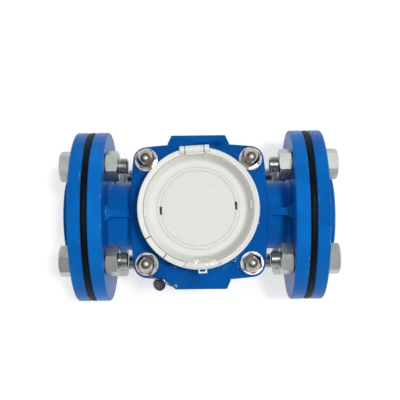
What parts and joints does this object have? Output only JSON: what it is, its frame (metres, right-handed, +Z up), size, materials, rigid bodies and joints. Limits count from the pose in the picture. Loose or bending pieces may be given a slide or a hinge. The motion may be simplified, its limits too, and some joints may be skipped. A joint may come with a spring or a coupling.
{
  "type": "woltmann water meter",
  "caption": "Flanged turbine water meter for a DN 50 pipe: blue cast body between screwed companion flanges, round register with hinged lid, bolted cover plate and wire seal.",
  "frame": {"origin": "mouth of the inlet hub's pipe thread, on the pipe axis", "axes": "+X along the flow from inlet to outlet, +Z up towards the register's lid"},
  "size_m": [0.259, 0.165, 0.1846],
  "materials": {
    "blue_coat": "gloss epoxy coat on cast iron",
    "gasket_rubber": "matt",
    "zinc_steel": "zinc plated",
    "bright_steel": "polished stainless",
    "white_plastic": "moulded",
    "lid_plastic": "moulded",
    "insert_plastic": "moulded",
    "rotor_plastic": "moulded",
    "gear_plastic": "moulded",
    "steel": "ground",
    "brass": "turned",
    "magnet": "sintered",
    "dial_white": "printed enamel",
    "pointer_red": "moulded",
    "drum_black": "moulded",
    "drum_red": "moulded",
    "glass": "clear",
    "copper_wire": "twisted",
    "lead": "cast and pressed"
  },
  "bodies": {
    "meter": {"meter_body": "blue_coat", "cover_plate": "blue_coat", "cover_seal": "gasket_rubber", "cover_studs": "zinc_steel", "cover_washers": "bright_steel", "cover_dome_nuts": "bright_steel", "inlet_companion_flange": "blue_coat", "outlet_companion_flange": "blue_coat", "inlet_gasket": "gasket_rubber", "outlet_gasket": "gasket_rubber", "inlet_flange_bolts": "zinc_steel", "outlet_flange_bolts": "zinc_steel", "inlet_flange_nuts": "zinc_steel", "outlet_flange_nuts": "zinc_steel", "measuring_insert": "insert_plastic", "flow_straightener": "insert_plastic", "rear_carrier": "insert_plastic", "front_bearing": "brass", "rear_bearing": "brass", "gear_bridge": "brass", "pressure_plate": "brass", "insert_screws": "steel", "seal_wire": "copper_wire", "lead_seal": "lead"},
    "rotor": {"turbine_rotor": "rotor_plastic", "rotor_shaft": "steel", "worm": "gear_plastic"},
    "spindle": {"worm_wheel": "gear_plastic", "drive_spindle": "steel", "transfer_pinion": "gear_plastic"},
    "magnet": {"transfer_gear": "gear_plastic", "magnet_spindle": "steel", "drive_magnet": "magnet"},
    "register": {"register_can": "brass", "glass_seal": "gasket_rubber", "register_glass": "glass", "register_ring": "white_plastic", "hinge_pin": "steel", "movement_frame": "gear_plastic", "dial_plate": "dial_white", "counter_axle": "steel"},
    "lid": {"lid": "lid_plastic"},
    "driven": {"driven_magnet": "magnet", "input_spindle": "steel", "flow_star": "pointer_red"},
    "first_wheel": {"wheel_one": "gear_plastic", "pointer_one": "pointer_red"},
    "idler": {"idler_wheel": "gear_plastic"},
    "second_wheel": {"wheel_two": "gear_plastic", "pointer_two": "pointer_red"},
    "drum_1": {"number_drum_1": "drum_red"},
    "drum_2": {"number_drum_2": "drum_black"},
    "drum_3": {"number_drum_3": "drum_black"},
    "drum_4": {"number_drum_4": "drum_black"},
    "drum_5": {"number_drum_5": "drum_black"},
    "drum_6": {"number_drum_6": "drum_black"}
  },
  "joints": [
    {"name": "rotor_spin", "type": "hinge", "parent": "meter", "child": "rotor", "pos_m": [0.128, 0, 0], "axis": [1, 0, 0], "continuous": true},
    {"name": "spindle_spin", "type": "hinge", "parent": "meter", "child": "spindle", "pos_m": [0.141, -0.008, 0], "axis": [0, 0, 1], "continuous": true},
    {"name": "magnet_spin", "type": "hinge", "parent": "meter", "child": "magnet", "pos_m": [0.128, 0, 0.04], "axis": [0, 0, 1], "continuous": true},
    {"name": "register_turn", "type": "hinge", "parent": "meter", "child": "register", "pos_m": [0.128, 0, 0.054], "axis": [0, 0, 1], "range_deg": [-175, 175]},
    {"name": "lid_hinge", "type": "hinge", "parent": "register", "child": "lid", "pos_m": [0.12504, 0.05141, 0.0988], "axis": [-0.9983, -0.0576, 0], "range_deg": [0, 110]},
    {"name": "driven_spin", "type": "hinge", "parent": "register", "child": "driven", "pos_m": [0.128, 0, 0.06], "axis": [0, 0, 1], "continuous": true},
    {"name": "first_wheel_spin", "type": "hinge", "parent": "register", "child": "first_wheel", "pos_m": [0.1414, -0.00674, 0.062], "axis": [0, 0, 1], "continuous": true},
    {"name": "idler_spin", "type": "hinge", "parent": "register", "child": "idler", "pos_m": [0.1283, -0.01908, 0.062], "axis": [0, 0, 1], "continuous": true},
    {"name": "second_wheel_spin", "type": "hinge", "parent": "register", "child": "second_wheel", "pos_m": [0.11546, -0.00824, 0.062], "axis": [0, 0, 1], "continuous": true},
    {"name": "drum_1_spin", "type": "hinge", "parent": "register", "child": "drum_1", "pos_m": [0.12719, 0.01398, 0.069], "axis": [0.9983, 0.0576, 0], "continuous": true},
    {"name": "drum_2_spin", "type": "hinge", "parent": "register", "child": "drum_2", "pos_m": [0.12719, 0.01398, 0.069], "axis": [0.9983, 0.0576, 0], "continuous": true},
    {"name": "drum_3_spin", "type": "hinge", "parent": "register", "child": "drum_3", "pos_m": [0.12719, 0.01398, 0.069], "axis": [0.9983, 0.0576, 0], "continuous": true},
    {"name": "drum_4_spin", "type": "hinge", "parent": "register", "child": "drum_4", "pos_m": [0.12719, 0.01398, 0.069], "axis": [0.9983, 0.0576, 0], "continuous": true},
    {"name": "drum_5_spin", "type": "hinge", "parent": "register", "child": "drum_5", "pos_m": [0.12719, 0.01398, 0.069], "axis": [0.9983, 0.0576, 0], "continuous": true},
    {"name": "drum_6_spin", "type": "hinge", "parent": "register", "child": "drum_6", "pos_m": [0.12719, 0.01398, 0.069], "axis": [0.9983, 0.0576, 0], "continuous": true}
  ],
  "couplings": [
    {"joint": "spindle_spin", "follows": "rotor_spin", "ratio": 0.0625},
    {"joint": "magnet_spin", "follows": "rotor_spin", "ratio": -0.03125},
    {"joint": "driven_spin", "follows": "rotor_spin", "ratio": -0.03125},
    {"joint": "first_wheel_spin", "follows": "rotor_spin", "ratio": 0.0078125},
    {"joint": "idler_spin", "follows": "rotor_spin", "ratio": -0.0019531},
    {"joint": "second_wheel_spin", "follows": "rotor_spin", "ratio": 0.00078125},
    {"joint": "drum_1_spin", "follows": "rotor_spin", "ratio": 0.000078125},
    {"joint": "drum_2_spin", "follows": "rotor_spin", "ratio": 0.0000078125},
    {"joint": "drum_3_spin", "follows": "rotor_spin", "ratio": 0.00000078125},
    {"joint": "drum_4_spin", "follows": "rotor_spin", "ratio": 0.000000078125},
    {"joint": "drum_5_spin", "follows": "rotor_spin", "ratio": 0.0000000078125},
    {"joint": "drum_6_spin", "follows": "rotor_spin", "ratio": 0.00000000078125}
  ]
}
